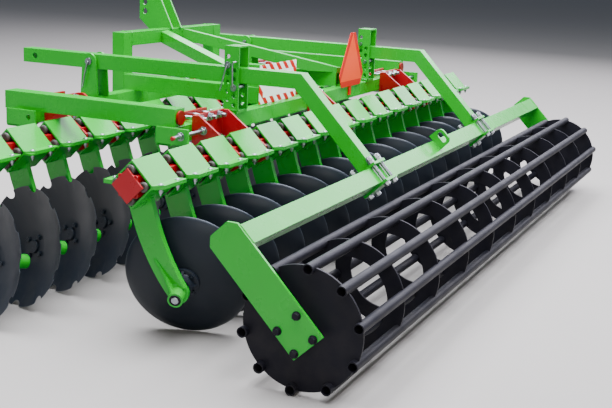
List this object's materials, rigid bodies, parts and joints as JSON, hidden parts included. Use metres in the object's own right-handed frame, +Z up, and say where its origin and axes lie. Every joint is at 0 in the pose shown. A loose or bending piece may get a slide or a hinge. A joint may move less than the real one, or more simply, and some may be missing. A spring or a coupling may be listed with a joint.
{
  "type": "disc harrow",
  "caption": "Mounted compact disc harrow: a green frame with two rows of black discs on rubber-sprung arms and a cage roller of tubes behind.",
  "frame": {"origin": "on the ground, in the middle of the machine's box", "axes": "+Z up, +Y the direction of travel, +X to the machine's right"},
  "size_m": [4.205, 2.399, 1.237],
  "materials": {
    "green_paint": "gloss",
    "red_paint": "gloss",
    "black_paint": "satin",
    "disc_steel": "satin",
    "zinc": "satin",
    "rubber": "matte",
    "sign_white": "satin",
    "sign_orange": "satin",
    "reflector_red": "gloss"
  },
  "bodies": {
    "frame": {"cross_beams": "green_paint", "lugs": "green_paint", "lengthwise_beams": "green_paint", "head_posts": "green_paint", "head_beam": "green_paint", "mast_plates": "green_paint", "link_plates": "green_paint", "braces": "green_paint", "pivot_brackets": "green_paint", "depth_posts": "green_paint", "pivot_pins": "zinc", "depth_pins": "zinc", "row_beams": "red_paint", "row_brackets": "red_paint", "frame_bolts": "zinc", "adjusting_screws": "zinc", "upper_clamps": "green_paint", "disc_arms": "green_paint", "rubber_cords": "rubber", "axles": "zinc", "warning_board": "sign_white", "slow_vehicle_triangle": "sign_orange", "reflectors": "reflector_red"},
    "roller_frame": {"roller_arms": "green_paint", "roller_beam": "green_paint", "side_plates": "green_paint"},
    "roller": {"roller": "black_paint"},
    "front_disc_01": {"front_disc_01": "disc_steel"},
    "front_disc_02": {"front_disc_02": "disc_steel"},
    "front_disc_03": {"front_disc_03": "disc_steel"},
    "front_disc_04": {"front_disc_04": "disc_steel"},
    "front_disc_05": {"front_disc_05": "disc_steel"},
    "front_disc_06": {"front_disc_06": "disc_steel"},
    "front_disc_07": {"front_disc_07": "disc_steel"},
    "front_disc_08": {"front_disc_08": "disc_steel"},
    "front_disc_09": {"front_disc_09": "disc_steel"},
    "front_disc_10": {"front_disc_10": "disc_steel"},
    "front_disc_11": {"front_disc_11": "disc_steel"},
    "front_disc_12": {"front_disc_12": "disc_steel"},
    "front_disc_13": {"front_disc_13": "disc_steel"},
    "front_disc_14": {"front_disc_14": "disc_steel"},
    "front_disc_15": {"front_disc_15": "disc_steel"},
    "front_disc_16": {"front_disc_16": "disc_steel"},
    "rear_disc_01": {"rear_disc_01": "disc_steel"},
    "rear_disc_02": {"rear_disc_02": "disc_steel"},
    "rear_disc_03": {"rear_disc_03": "disc_steel"},
    "rear_disc_04": {"rear_disc_04": "disc_steel"},
    "rear_disc_05": {"rear_disc_05": "disc_steel"},
    "rear_disc_06": {"rear_disc_06": "disc_steel"},
    "rear_disc_07": {"rear_disc_07": "disc_steel"},
    "rear_disc_08": {"rear_disc_08": "disc_steel"},
    "rear_disc_09": {"rear_disc_09": "disc_steel"},
    "rear_disc_10": {"rear_disc_10": "disc_steel"},
    "rear_disc_11": {"rear_disc_11": "disc_steel"},
    "rear_disc_12": {"rear_disc_12": "disc_steel"},
    "rear_disc_13": {"rear_disc_13": "disc_steel"},
    "rear_disc_14": {"rear_disc_14": "disc_steel"},
    "rear_disc_15": {"rear_disc_15": "disc_steel"},
    "rear_disc_16": {"rear_disc_16": "disc_steel"}
  },
  "joints": [
    {"name": "roller_frame_pivot", "type": "hinge", "parent": "frame", "child": "roller_frame", "pos_m": [0, 0.79, 0.937], "axis": [1, 0, 0], "range_deg": [-0.12, 0.8]},
    {"name": "roller_spin", "type": "hinge", "parent": "roller_frame", "child": "roller", "pos_m": [0, -0.957, 0.24377], "axis": [1, 0, 0], "continuous": true},
    {"name": "front_disc_01_spin", "type": "hinge", "parent": "frame", "child": "front_disc_01", "pos_m": [-1.875, 0.435, 0.22002], "axis": [-0.9354, 0.286, 0.2079], "continuous": true},
    {"name": "front_disc_02_spin", "type": "hinge", "parent": "frame", "child": "front_disc_02", "pos_m": [-1.625, 0.435, 0.22002], "axis": [-0.9354, 0.286, 0.2079], "continuous": true},
    {"name": "front_disc_03_spin", "type": "hinge", "parent": "frame", "child": "front_disc_03", "pos_m": [-1.375, 0.435, 0.22002], "axis": [-0.9354, 0.286, 0.2079], "continuous": true},
    {"name": "front_disc_04_spin", "type": "hinge", "parent": "frame", "child": "front_disc_04", "pos_m": [-1.125, 0.435, 0.22002], "axis": [-0.9354, 0.286, 0.2079], "continuous": true},
    {"name": "front_disc_05_spin", "type": "hinge", "parent": "frame", "child": "front_disc_05", "pos_m": [-0.875, 0.435, 0.22002], "axis": [-0.9354, 0.286, 0.2079], "continuous": true},
    {"name": "front_disc_06_spin", "type": "hinge", "parent": "frame", "child": "front_disc_06", "pos_m": [-0.625, 0.435, 0.22002], "axis": [-0.9354, 0.286, 0.2079], "continuous": true},
    {"name": "front_disc_07_spin", "type": "hinge", "parent": "frame", "child": "front_disc_07", "pos_m": [-0.375, 0.435, 0.22002], "axis": [-0.9354, 0.286, 0.2079], "continuous": true},
    {"name": "front_disc_08_spin", "type": "hinge", "parent": "frame", "child": "front_disc_08", "pos_m": [-0.125, 0.435, 0.22002], "axis": [-0.9354, 0.286, 0.2079], "continuous": true},
    {"name": "front_disc_09_spin", "type": "hinge", "parent": "frame", "child": "front_disc_09", "pos_m": [0.125, 0.435, 0.22002], "axis": [-0.9354, 0.286, 0.2079], "continuous": true},
    {"name": "front_disc_10_spin", "type": "hinge", "parent": "frame", "child": "front_disc_10", "pos_m": [0.375, 0.435, 0.22002], "axis": [-0.9354, 0.286, 0.2079], "continuous": true},
    {"name": "front_disc_11_spin", "type": "hinge", "parent": "frame", "child": "front_disc_11", "pos_m": [0.625, 0.435, 0.22002], "axis": [-0.9354, 0.286, 0.2079], "continuous": true},
    {"name": "front_disc_12_spin", "type": "hinge", "parent": "frame", "child": "front_disc_12", "pos_m": [0.875, 0.435, 0.22002], "axis": [-0.9354, 0.286, 0.2079], "continuous": true},
    {"name": "front_disc_13_spin", "type": "hinge", "parent": "frame", "child": "front_disc_13", "pos_m": [1.125, 0.435, 0.22002], "axis": [-0.9354, 0.286, 0.2079], "continuous": true},
    {"name": "front_disc_14_spin", "type": "hinge", "parent": "frame", "child": "front_disc_14", "pos_m": [1.375, 0.435, 0.22002], "axis": [-0.9354, 0.286, 0.2079], "continuous": true},
    {"name": "front_disc_15_spin", "type": "hinge", "parent": "frame", "child": "front_disc_15", "pos_m": [1.625, 0.435, 0.22002], "axis": [-0.9354, 0.286, 0.2079], "continuous": true},
    {"name": "front_disc_16_spin", "type": "hinge", "parent": "frame", "child": "front_disc_16", "pos_m": [1.875, 0.435, 0.22002], "axis": [-0.9354, 0.286, 0.2079], "continuous": true},
    {"name": "rear_disc_01_spin", "type": "hinge", "parent": "frame", "child": "rear_disc_01", "pos_m": [-1.875, -0.355, 0.22002], "axis": [0.9354, 0.286, 0.2079], "continuous": true},
    {"name": "rear_disc_02_spin", "type": "hinge", "parent": "frame", "child": "rear_disc_02", "pos_m": [-1.625, -0.355, 0.22002], "axis": [0.9354, 0.286, 0.2079], "continuous": true},
    {"name": "rear_disc_03_spin", "type": "hinge", "parent": "frame", "child": "rear_disc_03", "pos_m": [-1.375, -0.355, 0.22002], "axis": [0.9354, 0.286, 0.2079], "continuous": true},
    {"name": "rear_disc_04_spin", "type": "hinge", "parent": "frame", "child": "rear_disc_04", "pos_m": [-1.125, -0.355, 0.22002], "axis": [0.9354, 0.286, 0.2079], "continuous": true},
    {"name": "rear_disc_05_spin", "type": "hinge", "parent": "frame", "child": "rear_disc_05", "pos_m": [-0.875, -0.355, 0.22002], "axis": [0.9354, 0.286, 0.2079], "continuous": true},
    {"name": "rear_disc_06_spin", "type": "hinge", "parent": "frame", "child": "rear_disc_06", "pos_m": [-0.625, -0.355, 0.22002], "axis": [0.9354, 0.286, 0.2079], "continuous": true},
    {"name": "rear_disc_07_spin", "type": "hinge", "parent": "frame", "child": "rear_disc_07", "pos_m": [-0.375, -0.355, 0.22002], "axis": [0.9354, 0.286, 0.2079], "continuous": true},
    {"name": "rear_disc_08_spin", "type": "hinge", "parent": "frame", "child": "rear_disc_08", "pos_m": [-0.125, -0.355, 0.22002], "axis": [0.9354, 0.286, 0.2079], "continuous": true},
    {"name": "rear_disc_09_spin", "type": "hinge", "parent": "frame", "child": "rear_disc_09", "pos_m": [0.125, -0.355, 0.22002], "axis": [0.9354, 0.286, 0.2079], "continuous": true},
    {"name": "rear_disc_10_spin", "type": "hinge", "parent": "frame", "child": "rear_disc_10", "pos_m": [0.375, -0.355, 0.22002], "axis": [0.9354, 0.286, 0.2079], "continuous": true},
    {"name": "rear_disc_11_spin", "type": "hinge", "parent": "frame", "child": "rear_disc_11", "pos_m": [0.625, -0.355, 0.22002], "axis": [0.9354, 0.286, 0.2079], "continuous": true},
    {"name": "rear_disc_12_spin", "type": "hinge", "parent": "frame", "child": "rear_disc_12", "pos_m": [0.875, -0.355, 0.22002], "axis": [0.9354, 0.286, 0.2079], "continuous": true},
    {"name": "rear_disc_13_spin", "type": "hinge", "parent": "frame", "child": "rear_disc_13", "pos_m": [1.125, -0.355, 0.22002], "axis": [0.9354, 0.286, 0.2079], "continuous": true},
    {"name": "rear_disc_14_spin", "type": "hinge", "parent": "frame", "child": "rear_disc_14", "pos_m": [1.375, -0.355, 0.22002], "axis": [0.9354, 0.286, 0.2079], "continuous": true},
    {"name": "rear_disc_15_spin", "type": "hinge", "parent": "frame", "child": "rear_disc_15", "pos_m": [1.625, -0.355, 0.22002], "axis": [0.9354, 0.286, 0.2079], "continuous": true},
    {"name": "rear_disc_16_spin", "type": "hinge", "parent": "frame", "child": "rear_disc_16", "pos_m": [1.875, -0.355, 0.22002], "axis": [0.9354, 0.286, 0.2079], "continuous": true}
  ]
}
